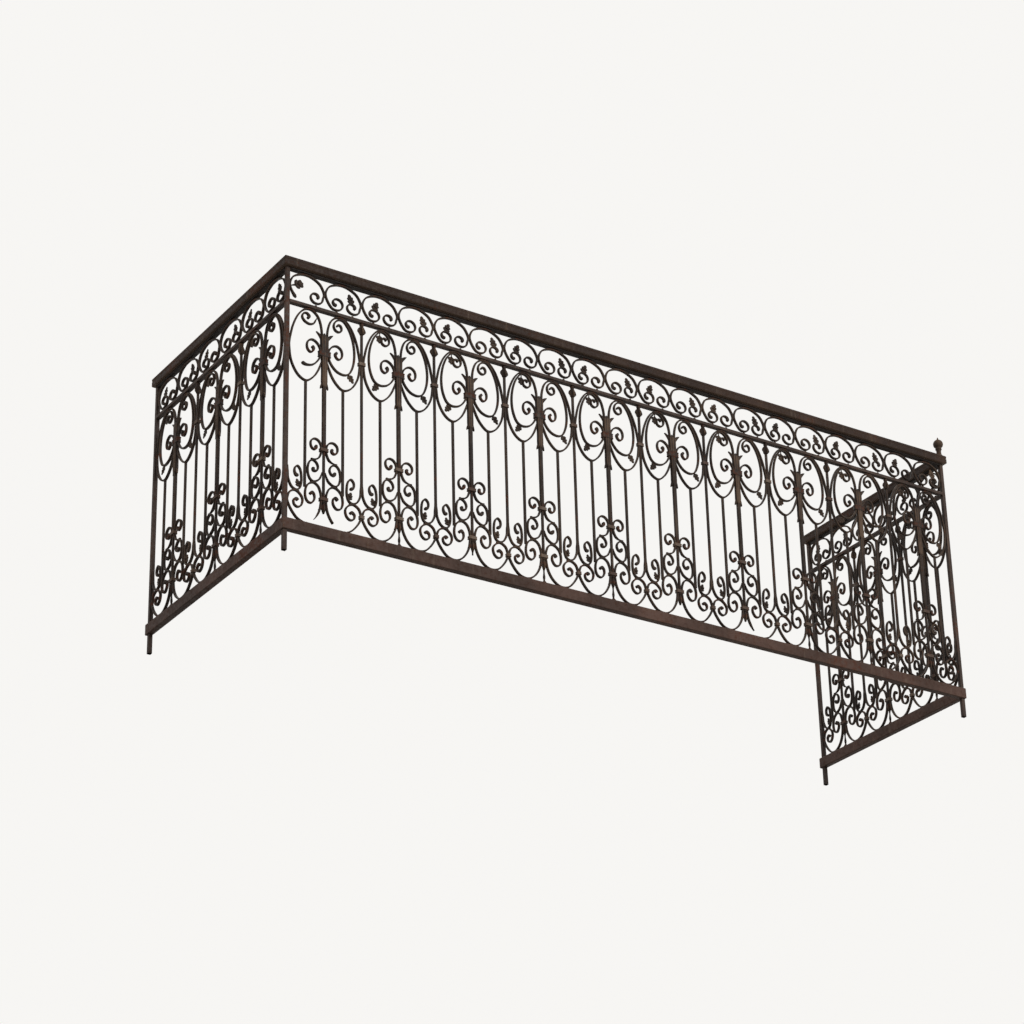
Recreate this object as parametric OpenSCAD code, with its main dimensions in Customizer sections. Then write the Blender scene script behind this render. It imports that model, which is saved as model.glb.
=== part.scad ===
// Wrought-iron balcony railing: a long front and two returns that run back to the wall.
// X runs along the front, Y towards the wall and Z up. Everything stands on Z = 0.

/* [Plan] */
// Distance between the centres of the two front corner posts
front_length = 2900; // [2000:10:4000]
// Distance from the front bars to the centre of the left wall post
left_return_depth = 980; // [700:10:1300]
// Distance from the front bars to the centre of the right wall post, where a pilaster stands forward
right_return_depth = 825; // [600:5:1300]
// Bays along the front, each with one sheathed bar in the middle
front_bays = 10; // [7:1:13]
// Half bays along each return
return_half_bays = 6; // [4:2:8]
// How far the return rails run past the wall posts to the wall
wall_reach = 16; // [12:1:80]

/* [Heights] */
// Height of the whole railing without its finial
total_height = 1100; // [1060:5:1180]
// Clear gap under the bottom rail
foot_gap = 74; // [50:1:100]
// Height of the bottom rail
bottom_rail_height = 42; // [30:1:50]
// Height of the handrail
top_rail_height = 35; // [28:1:45]
// Thickness of the flat rail right under the handrail
top_flat_height = 9; // [6:1:14]
// Clear height of the frieze between the two flat rails
frieze_height = 118; // [105:1:140]
// Thickness of the rail under the frieze
frieze_rail_height = 11; // [8:1:16]

/* [Sections] */
// Width of the handrail across its top
top_rail_width = 38; // [34:1:50]
// Depth of the bottom rail
bottom_rail_width = 24; // [20:1:44]
// Depth of the flat rails above and below the frieze
frieze_rail_width = 18; // [14:1:28]
// Side of the square posts
post_side = 14; // [12:1:18]
// Side of the thick bars that carry the sheaths
king_side = 12.5; // [11:0.5:18]
// Side of the thin bars
slim_side = 8.5; // [7:0.5:13]
// Thickness of the scroll strips, seen from the front
strip_thickness = 6; // [5:0.5:8]
// Depth of the scroll strips, from front to back
strip_depth = 11; // [9:0.5:16]
// Depth of the small leaves on the scrolls
leaf_depth = 6; // [3:0.5:8]
// Wall of the collars
collar_wall = 2.5; // [1.5:0.5:4]
// Height of the collars
collar_height = 13; // [8:1:20]

/* [Finial] */
// Diameter of the ball on the right corner
ball_diameter = 39; // [30:1:55]

/* [Hidden] */

// Gap left between pieces that only touch
seat = 0.2;
// Longest straight step along a scroll
chord = 30;
iron = [0.20, 0.15, 0.13];
iron_dark = [0.16, 0.12, 0.105];
iron_worn = [0.33, 0.26, 0.20];

front_cells = 2 * front_bays;

// The frame's origin is under the middle of the whole plan
plan_depth = max(left_return_depth, right_return_depth) + wall_reach + top_rail_width / 2;
front_y = top_rail_width / 2 - plan_depth / 2;
left_wall_post_y = front_y + left_return_depth;
right_wall_post_y = front_y + right_return_depth;
left_x = -front_length / 2;
right_x = front_length / 2;

bottom_rail_top = foot_gap + bottom_rail_height;
cap_bottom = total_height - top_rail_height;
top_flat_bottom = cap_bottom - top_flat_height;
frieze_rail_top = top_flat_bottom - frieze_height;
frieze_rail_bottom = frieze_rail_top - frieze_rail_height;
field_height = frieze_rail_bottom - bottom_rail_top;

half_strip = strip_thickness / 2;

// The scrolls are drawn on a grid, and fitted from it to the real half bays
drawing = [145, 810];
drawn_frieze = 127;
drawn_king = 7;
drawn_slim = 5;
drawn_strip = 6.5;

// Where a strip's centre line lies when the strip touches what stands beside, below or above it
at_king = drawn_king + drawn_strip / 2;
at_slim = drawing[0] - drawn_slim - drawn_strip / 2;
at_meeting = drawing[0] - drawn_strip / 2;
at_foot = drawn_strip / 2;
at_top = drawing[1] - drawn_strip / 2;
at_frieze_top = drawn_frieze - drawn_strip / 2;

// Points on a smooth curve through the given points, closer together where the curve is tight
function spline_point(a, b, c, d, t) = 0.5 * (
    2 * b + (c - a) * t
    + (2 * a - 5 * b + 4 * c - d) * t * t
    + (3 * b - a - 3 * c + d) * t * t * t
);
function spline(points) = [
    let (last = len(points) - 1)
    for (i = [0 : last - 1])
        let (
            before = points[max(i - 1, 0)],
            from = points[i],
            to = points[i + 1],
            after = points[min(i + 2, last)],
            steps = ceil(norm(to - from) / chord)
        )
        for (k = [0 : steps - 1]) spline_point(before, from, to, after, k / steps),
    points[len(points) - 1]
];

// Points of a volute from its outer end to its eye
function volute(centre, outer, eye, start, sweep) =
    let (steps = ceil(abs(sweep) / 40))
    [for (k = [0 : steps])
        let (t = k / steps, radius = outer + (eye - outer) * t, angle = start + sweep * t)
        centre + radius * [cos(angle), sin(angle)]];
function reversed(points) = [for (i = [len(points) - 1 : -1 : 0]) points[i]];

// Outline of a strip of even thickness along a path
function heading(path, i) =
    let (v = path[min(i + 1, len(path) - 1)] - path[max(i - 1, 0)])
    v / norm(v);
function side_line(path, offset) = [
    for (i = [0 : len(path) - 1])
        let (h = heading(path, i)) path[i] + offset * [-h[1], h[0]]
];
function strip_outline(path, half = half_strip) =
    concat(side_line(path, half), reversed(side_line(path, -half)));

// Fits drawn points to a half bay. Each end's half width is what stands there, drawn and real
function fitted(points, cell, king_half, slim_half, drawn_end = drawn_slim) =
    let (
        drawn_clear = drawing[0] - drawn_king - drawn_end - drawn_strip,
        clear = cell - king_half - slim_half - strip_thickness - 2 * seat,
        left = king_half + half_strip + seat,
        low = bottom_rail_top + seat + half_strip,
        rise = (field_height - strip_thickness - 2 * seat) / (drawing[1] - drawn_strip)
    )
    [for (p = points) [left + (p[0] - at_king) * clear / drawn_clear, low + (p[1] - at_foot) * rise]];

// Heights on the bars, measured from the bottom rail's top
sheath_low = 521;
sheath_high = 735;
hang_low = 137;
hang_high = 530;
split_height = 172;
drop_height = 87;

// Where the hung bars stand, under the ovals' lowest points
hang_across = 72.5;

// Scroll paths of a half bay, measured from the thick bar's axis and the bottom rail's top
oval_path = spline([
    [11.5, 632], [at_king, 658], [at_king, 680], [at_king, 702], [13, 745], [24, 782], [43, 802],
    [63, at_top], [85, 797], [106, 770], [123, 729], [132, 690], [at_slim, 662], [at_slim, 638],
    [129, 590], [105, 547], [hang_across, hang_high], [44, 550], [24, 582], [13, 617]
]);
inner_path = spline([
    [50, 668], [43, 662], [45, 651], [54, 644], [65, 651], [69, 667], [64, 684], [49, 693], [32, 687],
    [19.5, 671], [15.5, 649], [23, 623], [45, 598], [74, 590], [97, 602], [112, 639], [116, 684],
    [110.5, 728], [99, 763], [86, 785], [72, 798.5], [56, 798.5], [42, 787], [36, 771], [40, 757],
    [52, 750], [64, 756], [66, 768]
]);
stem_path = spline([
    [46, 243], [31, 245], [18, 255], [at_king, 276], [at_king, 292], [14, 306], [24, 317], [38, 319.5],
    [50, 311], [53, 297], [48, 284], [38, 280], [31, 287], [33, 297]
]);
loop_path = spline([
    [at_king, 198], [19, 171], [41, 160], [58, 172], [64, 199], [59, 226], [45, 239],
    [30, 232], [23, 216], [29, 202], [41, 201], [42, 212]
]);
bowl_path = spline([
    [54, 110], [46, 119], [37, 111], [37, 94], [49, 79], [65, 83], [73, 103], [70, 131], [57, 149],
    [38, 155.5], [21, 145], [12.5, 125], [at_king, 110], [at_king, 93], [17, 56], [37, 22], [67, at_foot],
    [101, 9], [127, 36], [at_meeting, 64], [at_meeting, 79], [134, 100], [114, 111], [95, 103],
    [83, 85], [87, 63], [101, 52], [115, 58], [118, 73], [108, 81], [101, 75]
]);
hook_path = spline([
    [at_meeting, 172], [139, 148], [126, 123], [108, 113.7], [91, 123], [84, 147], [88, 182],
    [101, 203], [112, 188], [109, 167], [100, 162]
]);

// Height at which a path runs straight along what it touches
function touch_height(path, across) =
    let (heights = [for (p = path) if (abs(p[0] - across) < 0.01) p[1]])
    (min(heights) + max(heights)) / 2;

// Outline of a three-lobed leaf that grows from a point at an angle
leaf_shape = [[0, 0.08], [0.3, 0.3], [0.5, 0.12], [1, 0], [0.5, -0.12], [0.3, -0.3], [0, -0.08]];
function leaf(base, angle, length) = [
    for (p = leaf_shape)
        base + length * [p[0] * cos(angle) - p[1] * sin(angle), p[0] * sin(angle) + p[1] * cos(angle)]
];
oval_leaf = leaf([98, 604], -50, 36);
hook_leaf = leaf([91, 123], 66, 34);
frieze_leaves = [leaf([46, 60], 62, 38), leaf([108, 56], 112, 38)];

// What is left of the scrolls in the front's first half bay, where pieces have broken off
broken_inner_path = spline([
    [50, 668], [43, 662], [45, 651], [54, 644], [65, 651], [69, 667], [64, 684], [49, 693], [32, 687],
    [19.5, 671], [15.5, 649], [23, 623], [45, 598], [72, 591], [88, 597]
]);
top_curl_path = spline([
    [27, 786], [36, 771], [43, 757], [60, 750], [79, 757], [88, 771], [83, 785], [70, 789],
    [61, 779], [67, 770]
]);
broken_frieze_leaf = leaf([5, 62], 24, 54);

// Frieze scroll, measured from the left end of its cell and the lower rail's top
left_volute = reversed(volute([46, 42.5], 31, 8, 235, 400));
frieze_arch = concat(
    [
        [10, 43], [at_foot, 71], [16, 103], [42, 119],
        [68, at_frieze_top], [95, 119], [125, 101], [at_meeting, 68]
    ],
    volute([108, 42], 31, 8, 10, -395)
);
frieze_path = spline(concat(left_volute, frieze_arch));
broken_frieze_path = spline(concat([left_volute[len(left_volute) - 1]], frieze_arch));
function frieze_fitted(points, cell, left_half, right_half) =
    let (
        drawn_clear = drawing[0] - drawn_strip,
        clear = cell - left_half - right_half - strip_thickness - 2 * seat,
        left = left_half + half_strip + seat,
        low = frieze_rail_top + seat + half_strip,
        rise = (frieze_height - strip_thickness - 2 * seat) / (drawn_frieze - drawn_strip)
    )
    [for (p = points) [left + (p[0] - at_foot) * clear / drawn_clear, low + (p[1] - at_foot) * rise]];

// A strip or a leaf that stands upright, in the X and Z plane
module strip(path) {
    rotate([90, 0, 0]) linear_extrude(height = strip_depth, center = true) polygon(strip_outline(path));
}
module leaf_plate(outline) {
    rotate([90, 0, 0]) linear_extrude(height = leaf_depth, center = true) polygon(outline);
}

module box_on(width, depth, low, high) {
    translate([-width / 2, -depth / 2, low]) cube([width, depth, high - low]);
}

// Puts what is drawn along X onto each side: from the left post, or from a wall post to the front
module on_side(side) {
    if (side == "front") translate([left_x, front_y, 0]) children();
    if (side == "left") translate([left_x, left_wall_post_y, 0]) rotate([0, 0, -90]) children();
    if (side == "right") translate([right_x, right_wall_post_y, 0]) rotate([0, 0, -90]) children();
}
function cells(side) = side == "front" ? front_cells : return_half_bays;
function run_length(side) =
    side == "front" ? front_length : side == "left" ? left_return_depth : right_return_depth;
function cell_width(side) = run_length(side) / cells(side);

// Half widths of what stands at the ends of a cell: a post at either end of the run, or a bar
function at_end(side, place) = place == 0 || place == cells(side);
function half_at(side, place) =
    at_end(side, place) ? post_side / 2 : place % 2 == 1 ? king_side / 2 : slim_side / 2;

// Draws one thing in every half bay, with its thick bar at x = 0 and its thin bar at x = cell
module each_cell(side) {
    for (i = [0 : cells(side) - 1]) {
        $cell = i;
        $king_half = half_at(side, i % 2 == 0 ? i + 1 : i);
        $slim_place = i % 2 == 0 ? i : i + 1;
        if (i % 2 == 0) translate([(i + 1) * cell_width(side), 0, 0]) mirror([1, 0, 0]) children();
        else translate([i * cell_width(side), 0, 0]) children();
    }
}
// Scrolls up to the thin bar, and scrolls low down that meet the next half bay's
function upper(side, path) = fitted(path, cell_width(side), $king_half, half_at(side, $slim_place));
function lower(side, path) =
    fitted(path, cell_width(side), $king_half, at_end(side, $slim_place) ? post_side / 2 : 0, 0);

// Handrail: a moulded cap with a shallow groove along each face
module cap_section() {
    w = top_rail_width / 2;
    h = top_rail_height;
    groove = 1.5;
    right_half = [
        [w - 2, 0], [w, 2], [w, h * 0.54], [w - groove, h * 0.58], [w - groove, h * 0.64],
        [w, h * 0.68], [w, h - 4], [w - 4, h]
    ];
    polygon(concat(right_half, [for (p = reversed(right_half)) [-p[0], p[1]]]));
}
module bottom_section() {
    w = bottom_rail_width / 2;
    h = bottom_rail_height;
    c = 2;
    polygon([[-w, c], [-w + c, 0], [w - c, 0], [w, c], [w, h - c], [w - c, h], [-w + c, h], [-w, h - c]]);
}

// Plan outlines that cut the rails to their mitred corners
module front_plan(w) {
    polygon([
        [left_x - w, front_y - w], [right_x + w, front_y - w],
        [right_x - w, front_y + w], [left_x + w, front_y + w]
    ]);
}
module return_plan(w, wall_y) {
    polygon([[-w, front_y - w], [-w, wall_y], [w, wall_y], [w, front_y + w]]);
}
module front_run(width, low, high) {
    intersection() {
        translate([left_x - width, front_y, low]) rotate([90, 0, 90])
            linear_extrude(height = front_length + 2 * width) children();
        translate([0, 0, low - 1]) linear_extrude(height = high - low + 2) front_plan(width / 2);
    }
}
module return_run(width, low, high, wall_y) {
    intersection() {
        translate([0, wall_y, low]) rotate([90, 0, 0])
            linear_extrude(height = wall_y - front_y + width) children();
        translate([0, 0, low - 1]) linear_extrude(height = high - low + 2) return_plan(width / 2, wall_y);
    }
}
module mitred_run(side, width, low, high) {
    if (side == "front") front_run(width, low, high) children();
    if (side == "left") translate([left_x, 0, 0])
        return_run(width, low, high, left_wall_post_y + wall_reach) children();
    if (side == "right") translate([right_x, 0, 0]) mirror([1, 0, 0])
        return_run(width, low, high, right_wall_post_y + wall_reach) children();
}

// Flat rail between the two posts of a side
module flat_rail(side, low, high) {
    length = run_length(side) - post_side;
    on_side(side) translate([post_side / 2 + length / 2, 0, 0]) box_on(length, frieze_rail_width, low, high);
}

module handrail(side) {
    color(iron) {
        mitred_run(side, top_rail_width, cap_bottom, total_height) cap_section();
        flat_rail(side, top_flat_bottom, cap_bottom + 1);
    }
}
module frieze_rail(side) {
    color(iron_dark) flat_rail(side, frieze_rail_bottom, frieze_rail_top);
}
module bottom_rail(side) {
    color(iron) post_cut() mitred_run(side, bottom_rail_width, foot_gap, bottom_rail_top) bottom_section();
}

// Posts run from the ground, through the bottom rails, to the handrail's cap
module post_shape(x, y) {
    translate([x, y, 0]) box_on(post_side, post_side, 0, cap_bottom);
}
module post_cut() {
    difference() {
        children();
        post_shape(left_x, front_y);
        post_shape(right_x, front_y);
        post_shape(left_x, left_wall_post_y);
        post_shape(right_x, right_wall_post_y);
    }
}
module post(x, y) {
    color(iron) post_shape(x, y);
}

// Ball on a stout neck, with a short spike on top
module ball_finial() {
    r = ball_diameter / 2;
    neck = 34;
    color(iron_dark) translate([right_x, front_y, total_height]) rotate_extrude($fn = 48) polygon(concat(
        [[0, 0], [14, 0], [14, 4], [11, 8], [9.5, 17], [10.5, neck + 1]],
        [for (a = [-52 : 13 : 65]) [r * cos(a), neck + r + r * sin(a)]],
        [[4, neck + 2 * r], [0, neck + 2 * r + 12]]
    ));
}

// The front's first half bay has lost a few pieces
function broken(side, i) = side == "front" && i == 0;

// One frieze scroll in each half bay, with a leaf on its left or right volute by turns
module frieze_scrolls(side) {
    w = cell_width(side);
    color(iron_dark) on_side(side) for (i = [0 : cells(side) - 1]) {
        left_half = at_end(side, i) ? post_side / 2 : 0;
        right_half = at_end(side, i + 1) ? post_side / 2 : 0;
        translate([i * w, 0, 0]) {
            path = broken(side, i) ? broken_frieze_path : frieze_path;
            outline = broken(side, i) ? broken_frieze_leaf : frieze_leaves[i % 2];
            strip(frieze_fitted(path, w, left_half, right_half));
            leaf_plate(frieze_fitted(outline, w, left_half, right_half));
        }
    }
}

function up(z) = bottom_rail_top + z * field_height / drawing[1];

// Thick bars stand on a turned drop with a foot, but the first one has lost its stem
module drop(whole) {
    stem = [[0, 0], [8, 0], [8.5, 4], [5, 9], [3, 13], [3, 50]];
    cup = [[4.5, 58], [7.5, 66], [8.8, 75], [8, 82], [king_side / 2, drop_height], [0, drop_height]];
    profile = concat(whole ? stem : [[0, 50], [2, 50]], cup);
    rotate_extrude($fn = 24) polygon([for (p = profile) [p[0], up(p[1])]]);
}
module king_bars(side) {
    color(iron) on_side(side) for (i = [1 : 2 : cells(side) - 1])
        translate([i * cell_width(side), 0, 0]) {
            drop(!broken(side, i - 1));
            box_on(king_side, king_side, up(drop_height), up(sheath_low));
        }
}

// Sheath: a bundle round the bar with a leaf in front and behind that ends in a crown of tips,
// and a band that also holds the scrolls on both sides
module sheath() {
    leaf = [
        [7, 521], [11, 531], [12, 545], [12, 634], [23, 637], [23, 659], [16, 662], [16, 704],
        [19, 716], [29, 738], [17, 729], [10, 734], [4, 726]
    ];
    outline = concat(leaf, [for (p = reversed(leaf)) [-p[0], p[1]]]);
    core = king_side / 2;
    plate = 3;
    box_on(2 * core, strip_depth + 2 * seat, up(sheath_low), up(sheath_high - 14));
    for (side = [-1, 1])
        translate([0, side * (strip_depth / 2 + seat + plate / 2), 0]) rotate([90, 0, 0])
            linear_extrude(height = plate, center = true)
                polygon([for (p = outline) [p[0], up(p[1])]]);
}
module sheaths(side) {
    color(iron) on_side(side) for (i = [1 : 2 : cells(side) - 1])
        translate([i * cell_width(side), 0, 0]) sheath();
}

// Thin bars stand on the split ends of the scrolls below, with a bud under the frieze
module bud() {
    profile = [[0, 0], [6, 0], [8, -6], [6.5, -11], [10, -20], [12.5, -30], [10, -38], [7, -46], [0, -46]];
    translate([0, 0, frieze_rail_bottom]) rotate_extrude($fn = 24) polygon(profile);
}
module plain_bars(side) {
    color(iron_dark) on_side(side) for (i = [2 : 2 : cells(side) - 1])
        translate([i * cell_width(side), 0, 0]) {
            bud();
            box_on(slim_side, slim_side, up(split_height) + 2 * seat, frieze_rail_bottom);
        }
}

module oval_scrolls(side) {
    color(iron_dark) on_side(side) each_cell(side) {
        strip(upper(side, oval_path));
        if (broken(side, $cell)) {
            strip(upper(side, broken_inner_path));
            strip(upper(side, top_curl_path));
        } else {
            strip(upper(side, inner_path));
            leaf_plate(upper(side, oval_leaf));
        }
    }
}

// Bars between the ovals' lowest points and the scrolls below, shaped at both ends to what they meet
module hung_bars(side) {
    color(iron_dark) on_side(side) each_cell(side) {
        mid = upper(side, [[hang_across, 0]])[0][0];
        rotate([90, 0, 0]) linear_extrude(height = slim_side, center = true) difference() {
            translate([mid - slim_side / 2, up(hang_low)]) square([slim_side, up(hang_high) - up(hang_low)]);
            polygon(strip_outline(upper(side, oval_path), half_strip + seat));
            polygon(strip_outline(lower(side, loop_path), half_strip + seat));
            polygon(strip_outline(lower(side, bowl_path), half_strip + seat));
        }
    }
}

module base_scrolls(side) {
    color(iron_dark) on_side(side) each_cell(side) {
        strip(lower(side, stem_path));
        strip(lower(side, loop_path));
        strip(lower(side, bowl_path));
        strip(lower(side, hook_path));
        leaf_plate(lower(side, hook_leaf));
    }
}

// A band round a bar and the strips on both its sides
module collar(inner_half, z) {
    inner = 2 * (inner_half + strip_thickness + 3 * seat);
    depth = max(strip_depth, 2 * inner_half) + 2 * seat;
    translate([0, 0, up(z)]) difference() {
        box_on(inner + 2 * collar_wall, depth + 2 * collar_wall, -collar_height / 2, collar_height / 2);
        box_on(inner, depth, -collar_height, collar_height);
    }
}
module collars(side) {
    color(iron_worn) on_side(side) for (i = [1 : cells(side) - 1])
        translate([i * cell_width(side), 0, 0]) {
            if (i % 2 == 0) {
                collar(slim_side / 2, touch_height(oval_path, at_slim));
                collar(0, touch_height(bowl_path, at_meeting));
            } else {
                collar(king_side / 2, touch_height(stem_path, at_king));
                collar(king_side / 2, touch_height(bowl_path, at_king));
            }
        }
}

handrail("front");  // front_handrail
handrail("left");  // left_handrail
handrail("right");  // right_handrail
frieze_rail("front");  // front_frieze_rail
frieze_rail("left");  // left_frieze_rail
frieze_rail("right");  // right_frieze_rail
bottom_rail("front");  // front_bottom_rail
bottom_rail("left");  // left_bottom_rail
bottom_rail("right");  // right_bottom_rail
post(left_x, front_y);  // front_left_post
post(right_x, front_y);  // front_right_post
post(left_x, left_wall_post_y);  // left_wall_post
post(right_x, right_wall_post_y);  // right_wall_post
ball_finial();
frieze_scrolls("front");  // front_frieze_scrolls
frieze_scrolls("left");  // left_frieze_scrolls
frieze_scrolls("right");  // right_frieze_scrolls
king_bars("front");  // front_king_bars
king_bars("left");  // left_king_bars
king_bars("right");  // right_king_bars
sheaths("front");  // front_sheaths
sheaths("left");  // left_sheaths
sheaths("right");  // right_sheaths
plain_bars("front");  // front_plain_bars
plain_bars("left");  // left_plain_bars
plain_bars("right");  // right_plain_bars
oval_scrolls("front");  // front_oval_scrolls
oval_scrolls("left");  // left_oval_scrolls
oval_scrolls("right");  // right_oval_scrolls
hung_bars("front");  // front_hung_bars
hung_bars("left");  // left_hung_bars
hung_bars("right");  // right_hung_bars
base_scrolls("front");  // front_base_scrolls
base_scrolls("left");  // left_base_scrolls
base_scrolls("right");  // right_base_scrolls
collars("front");  // front_collars
collars("left");  // left_collars
collars("right");  // right_collars
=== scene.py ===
from math import atan2, ceil, cos, degrees, hypot, pi, radians, sin

import bmesh
import bpy
from mathutils import Euler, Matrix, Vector


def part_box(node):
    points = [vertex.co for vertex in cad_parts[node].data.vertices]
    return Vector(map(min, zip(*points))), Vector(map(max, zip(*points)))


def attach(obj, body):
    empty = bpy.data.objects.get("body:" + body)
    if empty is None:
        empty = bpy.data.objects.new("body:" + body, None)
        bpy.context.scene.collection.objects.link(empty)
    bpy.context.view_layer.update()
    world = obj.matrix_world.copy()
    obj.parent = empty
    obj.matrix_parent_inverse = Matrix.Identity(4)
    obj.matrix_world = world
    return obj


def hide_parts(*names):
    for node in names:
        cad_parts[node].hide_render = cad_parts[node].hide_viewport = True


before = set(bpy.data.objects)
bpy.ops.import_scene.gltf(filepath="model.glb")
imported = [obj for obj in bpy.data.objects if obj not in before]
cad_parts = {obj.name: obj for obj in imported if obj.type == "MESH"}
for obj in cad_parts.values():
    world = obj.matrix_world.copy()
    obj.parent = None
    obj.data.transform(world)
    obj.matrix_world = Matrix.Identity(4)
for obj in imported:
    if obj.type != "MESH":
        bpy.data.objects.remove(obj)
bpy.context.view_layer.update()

MM = 0.001

# Camera
# The photographer stands on the ground to the left, and looks up with a long lens
CAMERA_PLACE = (-5.385, -7.783, -3.944)
CAMERA_TURN = (114.415, 1.255, -32.861)
LENS = 99.28
SENSOR_WIDTH = 36
LENS_RISE = 0.086

camera_data = bpy.data.cameras.new("camera")
camera_data.lens = LENS
camera_data.sensor_width = SENSOR_WIDTH
camera_data.shift_y = LENS_RISE
camera = bpy.data.objects.new("camera", camera_data)
camera.location = CAMERA_PLACE
camera.rotation_euler = Euler([radians(a) for a in CAMERA_TURN])
bpy.context.scene.collection.objects.link(camera)
bpy.context.scene.camera = camera


# The frame's sizes, in millimetres
def edges(node, axis):
    """Low and high side of a node's box on an axis."""
    low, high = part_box(node)
    return low[axis] / MM, high[axis] / MM


def middle(node, axis):
    low, high = edges(node, axis)
    return (low + high) / 2


LEFT_X = middle("front_left_post", 0)
RIGHT_X = middle("front_right_post", 0)
FRONT_Y = middle("front_left_post", 1)
LEFT_WALL_Y = middle("left_wall_post", 1)
RIGHT_WALL_Y = middle("right_wall_post", 1)
POST_HALF = (edges("front_left_post", 0)[1] - edges("front_left_post", 0)[0]) / 2
RAIL_TOP = edges("front_bottom_rail", 2)[1]
FRIEZE_LOW, FRIEZE_HIGH = edges("front_frieze_rail", 2)
TOP_LOW, TOP_HIGH = edges("front_handrail", 2)
FIELD = FRIEZE_LOW - RAIL_TOP
FRIEZE = TOP_LOW - FRIEZE_HIGH

# Sizes of the strips, the thick and thin bars and the collars, as in the solids
STRIP = 6
STRIP_DEPTH = 11
KING_HALF = 6.25
SLIM_HALF = 4.25
SEAT = 0.2
COLLAR_WALL = 2.5
COLLAR_HEIGHT = 13

# A side is where it starts, how long it is, and how many half bays it has
SIDES = {
    "front": (LEFT_X, FRONT_Y, RIGHT_X - LEFT_X, 20),
    "left": (LEFT_X, LEFT_WALL_Y, LEFT_WALL_Y - FRONT_Y, 6),
    "right": (RIGHT_X, RIGHT_WALL_Y, RIGHT_WALL_Y - FRONT_Y, 6),
}

# Thick and thin bars stand by turns, from these places on
FIRST_KING = 1
FIRST_SLIM = 2

# The scrolls are drawn on a grid, and fitted from it to the real half bays
GRID_WIDTH = 145
GRID_HEIGHT = 810
GRID_FRIEZE = 127
DRAWN_KING = 7
DRAWN_SLIM = 5
DRAWN_STRIP = 6.5
AT_KING = DRAWN_KING + DRAWN_STRIP / 2
AT_SLIM = GRID_WIDTH - DRAWN_SLIM - DRAWN_STRIP / 2
AT_MEETING = GRID_WIDTH - DRAWN_STRIP / 2
AT_FOOT = DRAWN_STRIP / 2
AT_TOP = GRID_HEIGHT - DRAWN_STRIP / 2
AT_FRIEZE_TOP = GRID_FRIEZE - DRAWN_STRIP / 2

# Where the scrolls touch the rails and where a bar hangs from the oval, across the half bay
OVAL_CREST = 63
BOWL_FOOT = 67
FRIEZE_CREST = 68
LEFT_EYE = 46
RIGHT_EYE = 108
HUNG_ACROSS = GRID_WIDTH / 2


def up(z):
    """Real height of a drawn one."""
    return RAIL_TOP + z * FIELD / GRID_HEIGHT


# Curves: the longest step on the grid, its sharpest turn in degrees, and a volute's steps
LONGEST_STEP = 12
SHARPEST_TURN = 10
VOLUTE_STEPS = 10


def spline(points):
    """Points on a smooth curve through the given ones, closer together where it turns."""
    last = len(points) - 1
    curve = []
    for i in range(last):
        a, b, c, d = (points[max(0, min(last, i + k))] for k in (-1, 0, 1, 2))
        turn = atan2(d[1] - b[1], d[0] - b[0]) - atan2(c[1] - a[1], c[0] - a[0])
        turn = abs((turn + pi) % (2 * pi) - pi)
        length = hypot(c[0] - b[0], c[1] - b[1])
        steps = max(ceil(length / LONGEST_STEP), ceil(degrees(turn) / SHARPEST_TURN))
        for k in range(steps):
            t = k / steps
            curve.append(tuple(
                0.5 * (2 * q + (r - p) * t + (2 * p - 5 * q + 4 * r - s) * t * t
                       + (3 * q - p - 3 * r + s) * t ** 3)
                for p, q, r, s in zip(a, b, c, d)
            ))
    curve.append(tuple(points[last]))
    return curve


def volute(centre, outer, eye, start, sweep):
    """Points of a volute from its outer end to its eye."""
    points = []
    for k in range(VOLUTE_STEPS + 1):
        radius = outer + (eye - outer) * k / VOLUTE_STEPS
        angle = radians(start + sweep * k / VOLUTE_STEPS)
        points.append((centre[0] + radius * cos(angle), centre[1] + radius * sin(angle)))
    return points


# Paths of a half bay: across from the thick bar's axis, and up from the bottom rail's top
OVAL = [
    (11.5, 632), (AT_KING, 658), (AT_KING, 680), (AT_KING, 702), (13, 745), (24, 782), (43, 802),
    (OVAL_CREST, AT_TOP), (85, 797), (106, 770), (123, 729), (132, 690), (AT_SLIM, 662),
    (AT_SLIM, 638), (129, 590), (105, 547), (HUNG_ACROSS, 530), (44, 550), (24, 582), (13, 617),
]
INNER = [
    (50, 668), (43, 662), (45, 651), (54, 644), (65, 651), (69, 667), (64, 684), (49, 693),
    (32, 687), (19.5, 671), (15.5, 649), (23, 623), (45, 598), (74, 590), (97, 602), (112, 639),
    (116, 684), (110.5, 728), (99, 763), (86, 785), (72, 798.5), (56, 798.5), (42, 787), (36, 771),
    (40, 757), (52, 750), (64, 756), (66, 768), (61, 776.5), (52.5, 777), (48, 769.5),
]
STEM = [
    (46, 243), (31, 245), (18, 255), (AT_KING, 276), (AT_KING, 292), (14, 306), (24, 317),
    (38, 319.5), (50, 311), (53, 297), (48, 284), (38, 280), (31, 287), (33, 297),
]
LOOP = [
    (6.6, 202), (17, 174), (41, 160), (58, 172), (64, 199), (59, 226), (45, 239), (30, 232),
    (23, 216), (29, 202), (41, 201), (42, 212),
]
BOWL = [
    (54, 110), (46, 119), (37, 111), (37, 94), (49, 79), (65, 83), (73, 103), (70, 131), (57, 149),
    (38, 155.5), (21, 145), (12.5, 125), (AT_KING, 110), (AT_KING, 93), (17, 56), (37, 22),
    (BOWL_FOOT, AT_FOOT), (101, 9), (127, 36), (AT_MEETING, 64), (AT_MEETING, 79), (134, 100),
    (114, 111), (95, 103), (83, 85), (87, 63), (101, 52), (115, 58), (118, 73), (108, 81),
    (101, 75),
]
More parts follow.
